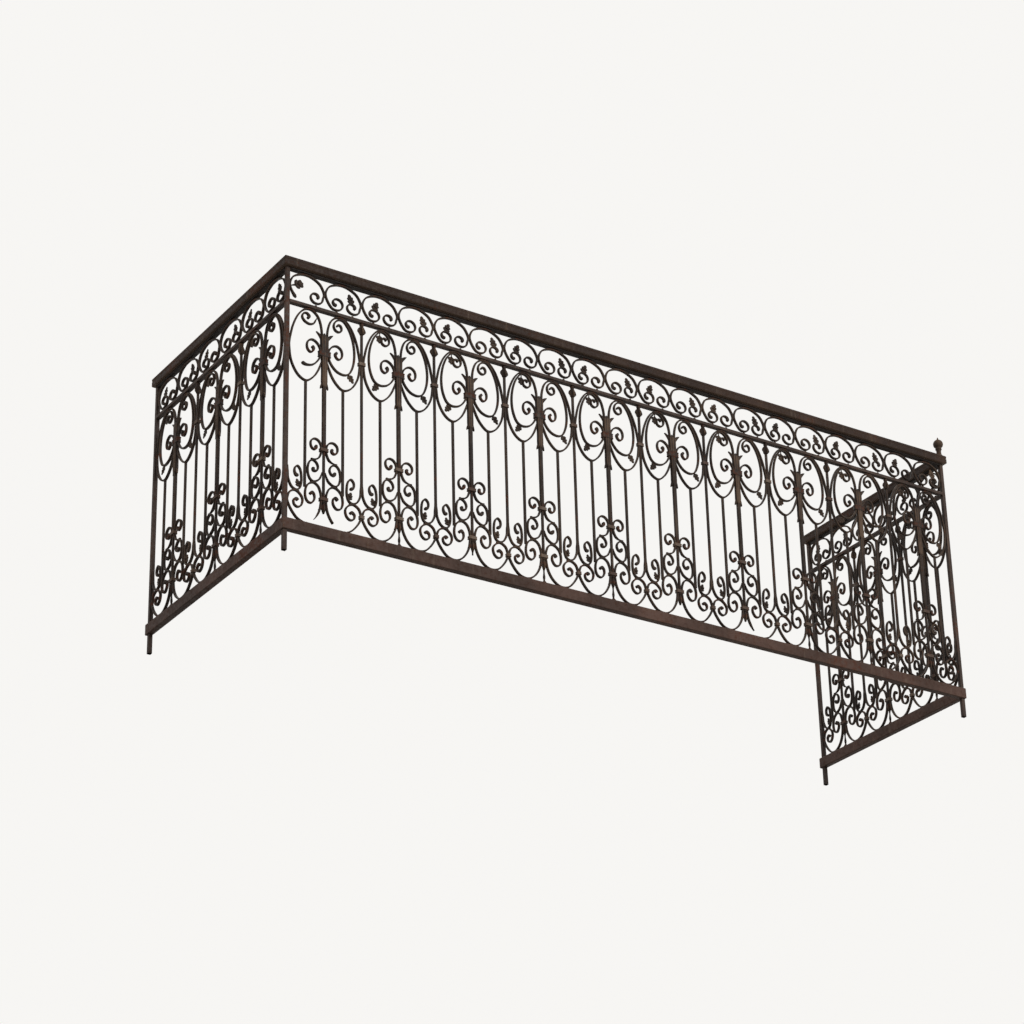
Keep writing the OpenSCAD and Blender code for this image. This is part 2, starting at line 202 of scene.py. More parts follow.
HOOK = [
    (AT_MEETING, 196), (AT_MEETING, 172), (140, 148), (128, 123), (110, 113.7), (95, 122),
    (88.5, 143), (88.5, 170), (92.5, 190), (103, 202), (113.5, 194), (115.5, 180), (109, 168),
    (100.5, 169),
]
LEFT_VOLUTE = list(reversed(volute((LEFT_EYE, 42.5), 31, 8, 235, 400)))
FRIEZE_ARCH = [
    (10, 43), (AT_FOOT, 71), (16, 103), (42, 119), (FRIEZE_CREST, AT_FRIEZE_TOP), (95, 119),
    (125, 101), (AT_MEETING, 68), *volute((RIGHT_EYE, 42), 31, 8, 10, -395),
]
FRIEZE_SCROLL = LEFT_VOLUTE + FRIEZE_ARCH

# What is left of the scrolls in the front's first half bay, where pieces have broken off
BROKEN_INNER = INNER[:13] + [(72, 591), (88, 597)]
TOP_CURL = [
    (27, 786), (36, 771), (43, 757), (60, 750), (79, 757), (88, 771), (83, 785), (70, 789),
    (61, 779), (67, 770),
]
BROKEN_FRIEZE = LEFT_VOLUTE[-1:] + FRIEZE_ARCH
# Bowls that have rusted through near the rail, by half bay: from here, and to where the strip
# goes on, with how the break ends
RUSTED_FROM = (37, 22)
RUSTED_TO = {0: (62, "tip"), 1: (76, "cut"), 13: (64, "tip")}

# Leaves: the place, angle and length of each. Where there are two, they take turns by half bay
OVAL_LEAVES = (((78, 592), -50, 38), ((92, 600), -58, 38))
TOP_LEAF = ((73, 796), -88, 42)
HOOK_LEAF = ((95, 122), 72, 34)
FRIEZE_LEAVES = (((46, 56), 66, 43), ((108, 53), 108, 43))
BROKEN_FRIEZE_LEAF = ((5, 62), 24, 54)

# Heights on the bars, up from the bottom rail's top, and the bud's length
SHEATH_LOW = 521
SHEATH_BAND = 648
SPLIT = 172
DROP = 87
HUNG_LOW = 133
HUNG_HIGH = 529
BUD = 46


def touch_height(path, across):
    """Height at which a path runs straight along what it touches."""
    heights = [p[1] for p in path if abs(p[0] - across) < 0.01]
    return (min(heights) + max(heights)) / 2


COLLARS_ON_SLIM = (touch_height(OVAL, AT_SLIM), touch_height(BOWL, AT_MEETING))
COLLARS_ON_KING = (touch_height(STEM, AT_KING), touch_height(BOWL, AT_KING))

# Rust gathers along the rails and under the collars
JOINT_HEIGHTS = [0, RAIL_TOP, FRIEZE_LOW, FRIEZE_HIGH, TOP_LOW]
JOINT_HEIGHTS += [up(z) for z in COLLARS_ON_SLIM + COLLARS_ON_KING]
JOINT_REACH = 16


def joint_at(height):
    """How near a height is to a joint, from 0 to 1."""
    nearest = min(abs(height - z) for z in JOINT_HEIGHTS)
    return max(0.0, 1 - nearest / JOINT_REACH)


# Gathering a piece's mesh
class Work:
    """Points, faces and wear of one piece. Points are across, through and up, in millimetres."""

    def __init__(self, side):
        self.x, self.y, self.length, self.cells = SIDES[side]
        self.side = side
        self.broken = side == "front"
        self.cell = self.length / self.cells
        self.points, self.faces, self.wear, self.joint = [], [], [], []
        self.start, self.facing = 0.0, 1

    def place(self, across, through, height):
        across = self.start + self.facing * across
        if self.side == "front":
            return (self.x + across) * MM, (self.y + through) * MM, height * MM
        return (self.x + through) * MM, (self.y - across) * MM, height * MM

    def half_bays(self, fitted):
        """Goes through the half bays, each with what fits drawn points to it.

        The thick bar is at 0 and the thin one at the cell's width, so every other one is turned.
        """
        for i in range(self.cells):
            if i % 2 == 0:
                self.facing, at_king, at_slim = -1, i + 1, i
            else:
                self.facing, at_king, at_slim = 1, i, i + 1
            self.start = at_king * self.cell
            king, slim = self.half_at(at_king), self.half_at(at_slim)
            yield i, lambda points: fitted(points, king, slim)
        self.start, self.facing = 0.0, 1

    def frieze_cells(self):
        """Goes through the half bays of the frieze, all of which face the same way."""
        for i in range(self.cells):
            self.start = i * self.cell
            left = POST_HALF if i == 0 else 0
            right = POST_HALF if i == self.cells - 1 else 0
            yield i, lambda points: self.frieze(points, left, right)
        self.start = 0.0

    def bars(self, first):
        """Goes through every second bar from the first one on, each at 0."""
        for i in range(first, self.cells, 2):
            self.start = i * self.cell
            yield i
        self.start = 0.0

    def half_at(self, place):
        """Half the width of the post or bar at a place."""
        if place in (0, self.cells):
            return POST_HALF
        return KING_HALF if place % 2 else SLIM_HALF

    def upper(self, points, king, slim, drawn_slim=DRAWN_SLIM):
        """Fits drawn points between the thick and the thin bar."""
        drawn = GRID_WIDTH - DRAWN_KING - drawn_slim - DRAWN_STRIP
        clear = self.cell - king - slim - STRIP - 2 * SEAT
        rise = (FIELD - STRIP - 2 * SEAT) / (GRID_HEIGHT - DRAWN_STRIP)
        left = king + STRIP / 2 + SEAT
        low = RAIL_TOP + SEAT + STRIP / 2
        return [
            (left + (u - AT_KING) * clear / drawn, low + (z - AT_FOOT) * rise)
            for u, z in points
        ]

    def lower(self, points, king, slim):
        """Fits drawn points under the thin bar, where strips of two half bays meet."""
        return self.upper(points, king, slim if slim > SLIM_HALF else 0, 0)

    def frieze(self, points, left_half, right_half):
        """Fits drawn points between the frieze rail and the handrail."""
        clear = self.cell - left_half - right_half - STRIP - 2 * SEAT
        rise = (FRIEZE - STRIP - 2 * SEAT) / (GRID_FRIEZE - DRAWN_STRIP)
        left = left_half + STRIP / 2 + SEAT
        low = FRIEZE_HIGH + SEAT + STRIP / 2
        return [
            (left + (u - AT_FOOT) * clear / (GRID_WIDTH - DRAWN_STRIP), low + (z - AT_FOOT) * rise)
            for u, z in points
        ]

    def skin(self, rings):
        """Joins rings of (across, through, height, wear) into a closed skin."""
        size = len(rings[0])
        first = len(self.points)
        for ring in rings:
            for across, through, height, wear in ring:
                self.points.append(self.place(across, through, height))
                self.wear.append(wear)
                self.joint.append(joint_at(height))
        last = first + (len(rings) - 1) * size
        for a in range(first, last, size):
            for k in range(size):
                n = (k + 1) % size
                self.faces.append((a + k, a + n, a + size + n, a + size + k))
        self.faces.append(tuple(range(first, first + size)))
        self.faces.append(tuple(range(last, last + size)))


def spot(fit, u, z=0):
    """One drawn point, fitted."""
    return fit([(u, z)])[0]


# Corners are never quite as large as half the side that they round
MOST_ROUNDED = 0.95


def rounded(half_a, half_b, corner):
    """A rounded rectangle, as points with how worn each is: only the corners are."""
    corner = min(corner, MOST_ROUNDED * half_a, MOST_ROUNDED * half_b)
    outline = []
    for sign_a, sign_b, turn in ((1, 1, 0), (-1, 1, 90), (-1, -1, 180), (1, -1, 270)):
        for k, wear in ((0, 0.0), (1, 1.0), (2, 0.0)):
            angle = radians(turn + 45 * k)
            outline.append((
                sign_a * (half_a - corner) + corner * cos(angle),
                sign_b * (half_b - corner) + corner * sin(angle),
                wear,
            ))
    return outline


def lengths(path):
    """Distance along a path to each of its points."""
    run = [0.0]
    for (a, b), (c, d) in zip(path, path[1:]):
        run.append(run[-1] + hypot(c - a, d - b))
    return run


def ease(t):
    """A smooth step from 0 to 1."""
    t = max(0.0, min(1.0, t))
    return t * t * (3 - 2 * t)


def sweep(work, path, section):
    """Carries a section along an upright path. section(from start, to end) gives its ring."""
    run = lengths(path)
    rings = []
    for i, (u, z) in enumerate(path):
        a, b = path[max(i - 1, 0)], path[min(i + 1, len(path) - 1)]
        du, dz = b[0] - a[0], b[1] - a[1]
        size = hypot(du, dz)
        nu, nz = -dz / size, du / size
        rings.append([
            (u + nu * s, through, z + nz * s, wear)
            for s, through, wear in section(run[i], run[-1] - run[i])
        ])
    work.skin(rings)


# A volute's end is beaten thicker, like a comma, and a tight curl's less so. A tip is drawn out
# thin, and a cut end keeps the strip's size
EYE_LENGTH = 30
EYE_SWELL = 0.75
CURL_SWELL = 0.15
NOSE = 3.5
NOSE_BLUNT = 0.35
TIP_LENGTH = 30
TIP_THIN = 0.55
# The part of a strip's depth that doesn't follow its thickness
DEPTH_KEPT = 0.4
STRIP_CORNER = 1.8


def end_factor(kind, distance):
    """How much thicker than the strip its end is, this far from it."""
    if kind in ("eye", "curl"):
        most = EYE_SWELL if kind == "eye" else CURL_SWELL
        swell = 1 + most * ease(1 - distance / EYE_LENGTH)
        nose = min(1.0, distance / NOSE)
        return swell * (NOSE_BLUNT + (1 - NOSE_BLUNT) * (1 - (1 - nose) ** 2) ** 0.5)
    if kind == "tip":
        return 1 - TIP_THIN * ease(1 - distance / TIP_LENGTH)
    return 1.0


def strip(work, path, start="eye", end="eye"):
    """A strip on edge along a path, with each end shaped by its kind."""
    def section(before, after):
        factor = end_factor(start, before) * end_factor(end, after)
        depth = STRIP_DEPTH / 2 * min(1.0, DEPTH_KEPT + (1 - DEPTH_KEPT) * factor)
        return rounded(STRIP / 2 * factor, depth, STRIP_CORNER)
    sweep(work, path, section)


# Front of a lobe's section, with a rib in the middle: across, through and how worn
LOBE = (
    (1, 0, 1.0), (0.62, 0.8, 0.3), (0.25, 0.72, 0.0), (0, 1.1, 0.9), (-0.25, 0.72, 0.0),
    (-0.62, 0.8, 0.3),
)
LOBE_STEPS = 8
LOBE_NARROWEST = 0.12
LOBE_THINNING = 0.55


def petal(work, base, angle, length, width, thick, bend=0, belly=1.3):
    """One lobe of a leaf: a blade with a rib, broad past its middle, that bends to one side."""
    path = []
    u, z = base
    heading = radians(angle)
    for k in range(LOBE_STEPS + 1):
        path.append((u, z))
        heading += radians(bend) / LOBE_STEPS
        u += cos(heading) * length / LOBE_STEPS
        z += sin(heading) * length / LOBE_STEPS

    def section(before, after):
        t = before / (before + after)
        broad = max(0.0, 1 - (2 * t ** belly - 1) ** 2) ** 0.5
        half = max(width * LOBE_NARROWEST, width / 2 * broad)
        deep = thick * (1 - LOBE_THINNING * t)
        front = [(half * a, deep * b, wear) for a, b, wear in LOBE]
        return front + [(-a, -b, wear) for a, b, wear in front]
    sweep(work, path, section)


# A leaf's parts, as shares of its length: its rib, two pairs of lobes and the lobe at the tip
RIB_LENGTH, RIB_WIDTH = 0.8, 0.16
PAIR_LENGTHS, PAIR_WIDTH, PAIR_STEP = (0.42, 0.36), 0.3, 0.3
END_LENGTH, END_WIDTH, END_FROM = 0.44, 0.34, 0.56
# Thickness of the rib and the lobes, and how far the pairs spread and bend
RIB_THICK, LOBE_THICK = 2.4, 3.4
PAIR_SPREAD, PAIR_BEND = 28, 40
# Where a leaf's first pair grows: most sit low, and two leaves have a longer stalk
SHORT_STALK, TOP_STALK, BROKEN_STALK = 0.16, 0.3, 0.35


def leaf(work, fit, form, stalk=SHORT_STALK):
    """A spray of two pairs of curled lobes along a stalk, with one lobe at its tip."""
    base, angle, length = form
    u, z = spot(fit, *base)
    along, upward = cos(radians(angle)), sin(radians(angle))

    def share(place):
        return u + along * length * place, z + upward * length * place

    petal(work, (u, z), angle, length * RIB_LENGTH, length * RIB_WIDTH, RIB_THICK)
    for pair, reach in enumerate(PAIR_LENGTHS):
        for side in (-1, 1):
            petal(
                work, share(stalk + pair * PAIR_STEP), angle + side * PAIR_SPREAD,
                length * reach, length * PAIR_WIDTH, LOBE_THICK, bend=side * PAIR_BEND,
            )
    petal(work, share(END_FROM), angle, length * END_LENGTH, length * END_WIDTH, LOBE_THICK)


# A weld's rings by height, and how much deeper than wide it is
WELD_ROWS = (-0.96, -0.6, 0, 0.6, 0.96)
WELD_SIDES = 10
WELD_DEEPER = 1.2
WELD_WEAR = 0.5
# How far a weld's middle lies from the rail
WELD_OFF = 2


def weld(work, u, z, radius=5.5, half_height=2.5):
    """A small run of weld round the place where a strip meets a rail or a bar."""
    rings = []
    for t in WELD_ROWS:
        r = radius * (1 - t * t) ** 0.5
        deep = min(r * WELD_DEEPER, STRIP_DEPTH / 2 + 1)
        rings.append([
            (u + r * cos(angle), deep * sin(angle), z + t * half_height, WELD_WEAR)
            for angle in (2 * pi * k / WELD_SIDES for k in range(WELD_SIDES))
        ])
    work.skin(rings)


# The longest step along a bar, and the corners of the bars
BAR_STEP = 60
BAR_CORNER = 1.6
HUNG_CORNER = 1.4


def bar(work, half, low, high, corner=BAR_CORNER):
    """A square bar between two heights."""
    steps = max(1, ceil((high - low) / BAR_STEP))
    ring = rounded(half, half, corner)
    work.skin([
        [(a, b, low + (high - low) * k / steps, wear) for a, b, wear in ring]
        for k in range(steps + 1)
    ])


# Lobes round a cast form, how worn it is, and how much more on its lobes
LOBES = 4
CAST_WEAR = 0.35
LOBE_WEAR = 3


def turned(work, profile, count=32):
    """A turned or cast form round the bar's axis.

    Its rows are height, radius, how deep the lobes are and how far they hang.
    """
    rings = []
    for height, radius, lobe, droop in profile:
        ring = []
        for k in range(count):
            angle = 2 * pi * k / count
            wave = cos(LOBES * angle)
            r = radius * (1 + lobe * wave)
            wear = max(0.0, min(1.0, CAST_WEAR + LOBE_WEAR * lobe * wave))
            ring.append((r * cos(angle), r * sin(angle), height - droop * wave, wear))
        rings.append(ring)
    work.skin(rings)


def petals(work, rows, turns=(-1, 1)):
    """Petals to both sides of a bar, or down its middle where there is one turn."""
    for turn in turns:
        for across, height, angle, lean, length, width, thick, bend, belly in rows:
            petal(
                work, (turn * across, height), angle + turn * lean, length, width, thick,
                bend=turn * bend, belly=belly,
            )


# The pieces
# Weld between an oval and the bar hung from it, and between the scrolls at the foot
HUNG_WELD = (HUNG_ACROSS, 527)
BASE_WELDS = ((48, 243), (50, 157), (100, 111))
BASE_WELD_RADIUS = 4.5
# Where a rusted bowl goes on, its weld lies this far past the break
PAST_BREAK = 4
# The volutes of the frieze are seated on the frieze rail by taller welds
EYE_WELD_UP = 3.6
EYE_WELD = {"radius": 5, "half_height": 5}


def oval_scrolls(side):
    work = Work(side)
    for i, fit in work.half_bays(work.upper):
        strip(work, fit(spline(OVAL)), "tip", "tip")
        if work.broken and i == 0:
            strip(work, fit(spline(BROKEN_INNER)), "eye", "eye")
            strip(work, fit(spline(TOP_CURL)), "tip", "eye")
        else:
            strip(work, fit(spline(INNER)), "eye", "curl")
            leaf(work, fit, OVAL_LEAVES[i % 2])
            if i % 2 == 0:
                leaf(work, fit, TOP_LEAF, TOP_STALK)
        weld(work, spot(fit, OVAL_CREST)[0], FRIEZE_LOW - WELD_OFF)
        weld(work, *spot(fit, *HUNG_WELD))
    return work


def base_scrolls(side):
    work = Work(side)
    for i, fit in work.half_bays(work.lower):
        strip(work, fit(spline(STEM)), "tip", "eye")
        strip(work, fit(spline(LOOP)), "tip", "eye")
        bowl = spline(BOWL)
        foot = BOWL_FOOT
        if work.broken and i in RUSTED_TO:
            resumed, ending = RUSTED_TO[i]
            gone = [
                k for k, (u, z) in enumerate(bowl)
                if RUSTED_FROM[0] < u < resumed and z < RUSTED_FROM[1]
            ]
            strip(work, fit(bowl[:gone[0]]), "eye", ending)
            strip(work, fit(bowl[gone[-1] + 1:]), "tip", "eye")
            foot = max(foot, resumed + PAST_BREAK)
        else:
            strip(work, fit(bowl))
        strip(work, fit(spline(HOOK)), "tip", "eye")
        leaf(work, fit, HOOK_LEAF)
        weld(work, spot(fit, foot)[0], RAIL_TOP + WELD_OFF)
        for place in BASE_WELDS:
            weld(work, *spot(fit, *place), radius=BASE_WELD_RADIUS)
    return work


def frieze_scrolls(side):
    work = Work(side)
    for i, fit in work.frieze_cells():
        if work.broken and i == 0:
            strip(work, fit(spline(BROKEN_FRIEZE)))
            leaf(work, fit, BROKEN_FRIEZE_LEAF, BROKEN_STALK)
        else:
            strip(work, fit(spline(FRIEZE_SCROLL)))
            leaf(work, fit, FRIEZE_LEAVES[i % 2])
            weld(work, spot(fit, LEFT_EYE)[0], FRIEZE_HIGH + EYE_WELD_UP, **EYE_WELD)
        weld(work, spot(fit, FRIEZE_CREST)[0], TOP_LOW - WELD_OFF)
        weld(work, spot(fit, RIGHT_EYE)[0], FRIEZE_HIGH + EYE_WELD_UP, **EYE_WELD)
    return work


# Drawn height, radius, and the lobes' depth and droop
STEM_PROFILE = [
    (0, 8, 0, 0), (2, 8.6, 0, 0), (5, 7, 0, 0), (9, 3.8, 0, 0), (13, 3.2, 0, 0), (18, 4.2, 0, 0),
    (24, 4.7, 0, 0), (30, 3.9, 0, 0), (38, 2.9, 0, 0), (44, 2.7, 0, 0),
]
CUP_PROFILE = [
    (50, 3.2, 0, 0), (54, 4.4, 0.05, 1), (60, 5.6, 0.14, 2.5), (67, 7.2, 0.16, 2),
    (74, 8.0, 0.1, 1), (80, 7.4, 0.04, 0), (84, 6.8, 0, 0), (DROP, KING_HALF, 0, 0),
]
# Petals: across, height, angle, lean to the side, length, width, thickness, bend and belly
CUP_SIDE_PETALS = [(3, up(84), -90, 8, 30, 10, 5, 48, 0.9)]
CUP_MIDDLE_PETALS = [(0, up(84), -90, 0, 34, 9, 8, 0, 0.9)]

# Thick bars whose stem is missing, up to this height, and what is left of its foot
LOST_STEMS = {1: 48, 5: 38, 11: 48, 13: 48}
STUMP_UP = 1
STUMP_RADIUS = 5

# How far a bar reaches into the form that covers its end
INTO_CUP = 1
INTO_SHEATH = 20
INTO_SPLIT = 4


def king_bars(side):
    """Thick bars, drawn thinner between their two collars."""
    work = Work(side)
    high, low = COLLARS_ON_KING
    for i in work.bars(FIRST_KING):
        lost = LOST_STEMS.get(i, 0) if work.broken else 0
        profile = [row for row in STEM_PROFILE if row[0] >= lost] + CUP_PROFILE
        turned(work, [(up(h), r, lobe, droop) for h, r, lobe, droop in profile])
        if lost:
            weld(work, 0, RAIL_TOP + STUMP_UP, radius=STUMP_RADIUS)
        petals(work, CUP_SIDE_PETALS)
        petals(work, CUP_MIDDLE_PETALS, turns=(1,))
        bar(work, KING_HALF, up(DROP) - INTO_CUP, up(low))
        bar(work, SLIM_HALF, up(low), up(high))
        bar(work, KING_HALF, up(high), up(SHEATH_LOW) + INTO_SHEATH)
    return work


# Drawn height, half width and half thickness of the sheath, with how deep its flutes are
SHEATH_PROFILE = [
    (519, 4, 5.6, 0.0), (523, 7.5, 7.6, 0.2), (530, 10.6, 8.4, 0.3), (545, 11.6, 8.6, 0.34),
    (580, 11.2, 8.2, 0.34), (612, 12, 8.4, 0.3), (640, 13.4, 8.6, 0.2), (660, 15.0, 8.6, 0.2),
    (684, 15.4, 8.6, 0.34), (702, 15.8, 8.6, 0.34), (712, 16.2, 8.4, 0.3), (718, 14, 7.6, 0.2),
    (722, 8, 5.6, 0.0),
]
SHEATH_SIDE_PETALS = [
    (7, up(697), 90, -15, 42, 13, 6.5, -42, 0.7), (8, up(700), 90, 4, 27, 9, 7.2, 0, 1.3),
    (8, up(540), -90, 4, 26, 9, 7, 20, 1.3),
]
SHEATH_MIDDLE_PETALS = [
    (0, up(700), 90, 0, 30, 10, 7.6, 0, 1.3), (0, up(545), -90, 0, 36, 10, 7.5, 0, 1.3),
]
# Height from the band's middle, and how much larger it is there
BAND_PROFILE = (
    (-11.5, -1.4), (-10.4, 0), (-7.6, 0.2), (-6.4, -0.8), (0, -0.5), (6.4, -0.8), (7.6, 0.2),
    (10.4, 0), (11.5, -1.4),
)
# Half the band's width and depth, and its corners
BAND_WIDE, BAND_DEEP, BAND_CORNER = 22.4, 8.8, 2.4
# The sheath's section: points round it, how square it is, its flutes, and its wear between them
SHEATH_SIDES = 32
SHEATH_SQUARE = 0.55
FLUTES = 3
FLUTE_DEPTH = 0.6
FLUTE_WEAR = 0.15


def fluted(half, deep, flute, height):
    """A ring of the sheath: an oblong with flutes along both faces, worn on their ridges."""
    ring = []
    for k in range(SHEATH_SIDES):
        angle = 2 * pi * k / SHEATH_SIDES
        c, s = cos(angle), sin(angle)
        across = half * (abs(c) ** SHEATH_SQUARE) * (1 if c >= 0 else -1)
        ridge = 0.5 + 0.5 * cos(FLUTES * pi * across / half)
        through = deep * (abs(s) ** SHEATH_SQUARE) * (1 if s >= 0 else -1)
        through *= 1 - flute * (1 - ridge) * FLUTE_DEPTH
        wear = FLUTE_WEAR + (1 - FLUTE_WEAR) * ridge * min(1, 3 * flute)
        ring.append((across, through, height, wear))
    return ring


def sheaths(side):
    work = Work(side)
    for _ in work.bars(FIRST_KING):
        work.skin([fluted(half, deep, flute, up(z)) for z, half, deep, flute in SHEATH_PROFILE])
        petals(work, SHEATH_SIDE_PETALS)
        petals(work, SHEATH_MIDDLE_PETALS, turns=(1,))
        work.skin([
            [
                (a, b, up(SHEATH_BAND) + rise, wear)
                for a, b, wear in rounded(BAND_WIDE + grow, BAND_DEEP + grow, BAND_CORNER)
            ]
            for rise, grow in BAND_PROFILE
        ])
    return work


# Height from the frieze rail's underside, radius, and the lobes' depth and droop
BUD_PROFILE = [
    (1, 6.2, 0, 0), (-2, 6.6, 0, 0), (-5, 8, 0.0, 0), (-8, 7.6, 0.0, 0), (-11, 6.4, 0.04, 0),
    (-16, 8, 0.10, 0.5), (-23, 10.6, 0.18, 1.5), (-29, 11.6, 0.18, 3), (-34, 11.0, 0.18, 4),
    (-38, 9.0, 0.12, 3), (-42, 7.0, 0.05, 1), (-BUD, 5.8, 0, 0),
]
BUD_PETALS = [(4, FRIEZE_LOW - 12, -90, 30, 25, 9, 4.5, -6, 1.6)]


def plain_bars(side):
    work = Work(side)
    for _ in work.bars(FIRST_SLIM):
        turned(work, [(FRIEZE_LOW + h, r, lobe, droop) for h, r, lobe, droop in BUD_PROFILE])
        petals(work, BUD_PETALS)
        bar(work, SLIM_HALF, up(SPLIT) - INTO_SPLIT, FRIEZE_LOW)
    return work


def hung_bars(side):
    work = Work(side)
    for _, fit in work.half_bays(work.upper):
        shift = work.facing * spot(fit, HUNG_ACROSS)[0]
        work.start += shift
        bar(work, SLIM_HALF, up(HUNG_LOW), up(HUNG_HIGH), HUNG_CORNER)
        work.start -= shift
    return work


# Height as a share of half the collar, how much larger it is there, and its wear
COLLAR_PROFILE = (
    (-1, -1.6, 0.0), (-0.86, -0.2, 0.0), (-0.62, 0, 0.6), (-0.4, -0.7, 0.0), (0, -0.5, 0.0),
    (0.4, -0.7, 0.0), (0.62, 0, 0.6), (0.86, -0.2, 0.0), (1, -1.6, 0.0),
)
COLLAR_CORNER = 2.2
# The first bar with collars, the half width inside each of its two, and their heights
COLLARS = (
    (FIRST_SLIM, (SLIM_HALF, 0), COLLARS_ON_SLIM),
    (FIRST_KING, (KING_HALF, KING_HALF), COLLARS_ON_KING),
)


def collar(work, inner_half, z):
    """A band with rolled edges round a bar and the strips on both its sides."""
    half = inner_half + STRIP + 3 * SEAT + COLLAR_WALL
    deep = max(STRIP_DEPTH / 2, inner_half) + SEAT + COLLAR_WALL
    work.skin([
        [
            (a, b, up(z) + t * COLLAR_HEIGHT / 2, max(wear, rubbed))
            for a, b, wear in rounded(half + grow, deep + grow, COLLAR_CORNER)
        ]
        for t, grow, rubbed in COLLAR_PROFILE
    ])


def collars(side):
    work = Work(side)
    for first, inner, heights in COLLARS:
        for _ in work.bars(first):
            for half, z in zip(inner, heights):
                collar(work, half, z)
    return work


# The finial's ball, its neck and the spike on top: height and radius, in millimetres
BALL = 39
NECK = 34
NECK_PROFILE = [
    (-1, 13.6), (3, 13.6), (4.5, 12.9), (6, 11.2), (9, 10.2), (17, 9.5), (25, 9.8), (28, 10.6),
    (29, 12), (31, 12.6), (33, 12.2), (35, 11.2),
]
SPIKE_PROFILE = [(-0.8, 5.2), (1, 4.0), (4, 3.2), (11, 0.8)]
# Degrees up the ball, from its neck to its spike
BALL_ANGLES = range(-52, 73, 8)
BALL_SIDES = 48


def finial():
    """Ball on a stout neck with a ring at each end, and a short spike on top."""
    work = Work("front")
    work.start = work.length
    ball = BALL / 2
    profile = list(NECK_PROFILE)
    profile += [(NECK + ball + ball * sin(radians(a)), ball * cos(radians(a))) for a in BALL_ANGLES]
    profile += [(NECK + BALL + h, r) for h, r in SPIKE_PROFILE]
    turned(work, [(TOP_HIGH + h, r, 0, 0) for h, r in profile], BALL_SIDES)
    return work


# Materials
# The sockets of a Mix node that hold colours
MIX_A, MIX_B, MIX_RESULT = 6, 7, 2


class Nodes:
    """Node tree of a material or the world, with short names for what it is built from."""

    def __init__(self, owner):
        owner.use_nodes = True
        self.tree = owner.node_tree
        self.tree.nodes.clear()

    def add(self, kind, inputs=None, **settings):
        """Adds a node. Each of its inputs is a socket to link from, or a value."""
        node = self.tree.nodes.new(kind)
        for key, value in settings.items():
            setattr(node, key, value)
        for key, value in (inputs or {}).items():
            if isinstance(value, bpy.types.NodeSocket):
                self.tree.links.new(value, node.inputs[key])
            else:
                node.inputs[key].default_value = value
        return node

    def noise(self, vector, scale, detail, rough=0.55):
        return self.add("ShaderNodeTexNoise", {
            "Vector": vector, "Scale": scale, "Detail": detail, "Roughness": rough,
        }).outputs["Fac"]

    def span(self, value, low, high, to_low=0.0, to_high=1.0):
        """Maps a range of a value to another, smoothly and no further."""
        return self.add("ShaderNodeMapRange", {
            "Value": value, "From Min": low, "From Max": high, "To Min": to_low, "To Max": to_high,
        }, interpolation_type="SMOOTHSTEP").outputs["Result"]

    def math(self, operation, a, b):
        return self.add("ShaderNodeMath", {0: a, 1: b}, operation=operation).outputs[0]

    def add_up(self, a, b):
        return self.math("ADD", a, b)

    def times(self, a, b):
        return self.math("MULTIPLY", a, b)

    def mix(self, factor, a, b):
        inputs = {"Factor": factor, MIX_A: a, MIX_B: b}
        return self.add("ShaderNodeMix", inputs, data_type="RGBA").outputs[MIX_RESULT]

    def height_of(self, vector):
        return self.add("ShaderNodeSeparateXYZ", {0: vector}).outputs["Z"]


def colour(red, green, blue):
    """A colour as the eye reads it, out of 255, in the light values that Blender works with."""
    def light(c):
        c /= 255
        return c / 12.92 if c < 0.04045 else ((c + 0.055) / 1.055) ** 2.4
    return light(red), light(green), light(blue), 1.0


COFFEE = colour(35, 22, 15)
COFFEE_LIGHT = colour(48, 32, 23)
BROWN = colour(46, 36, 32)
BROWN_LIGHT = colour(64, 52, 46)
RUSSET = colour(57, 41, 34)
RUSSET_LIGHT = colour(78, 57, 49)
BRONZE = colour(32, 24, 20)
BRONZE_LIGHT = colour(46, 36, 30)
TAN = colour(104, 94, 84)
WORN = colour(112, 90, 70)
RUST = colour(84, 48, 34)
# Pale dust, also used as painted light on upward faces and on the handrail's underside
DUST_AND_LIGHT = colour(112, 98, 84)
# Soot, also used as painted shade on downward faces and in sheltered corners
SOOT_AND_SHADE = colour(28, 20, 15)
# Near black, for the painted shadow under the handrail's cap
CAP_SHADOW_DARK = colour(18, 11, 7)

# Noises on the paint: scale, detail and roughness
BLOTCH = (6.5, 5, 0.6)
MOTTLE = (85, 5, 0.6)
GRAIN = (420, 3, 0.6)
STREAK = (1.0, 4, 0.6)
PATCH = (3.2, 3, 0.55)
# Streaks are noise drawn out upright: its scale on each axis
STREAK_SCALE = (55, 55, 5)
# Mottled paint is this much of its own colour
MOTTLE_SHADE = 0.55
EDGE_RADIUS = 2.2 * MM
SHELTER_REACH = 30 * MM
BUMP_HEIGHT = 0.9 * MM
GLOSS = 0.14

# The handrail's cap shelters the flat rail under it, from this height down, and the cap's shadow
# there is painted into the rail's colour
CAP_LOW = 1065 * MM


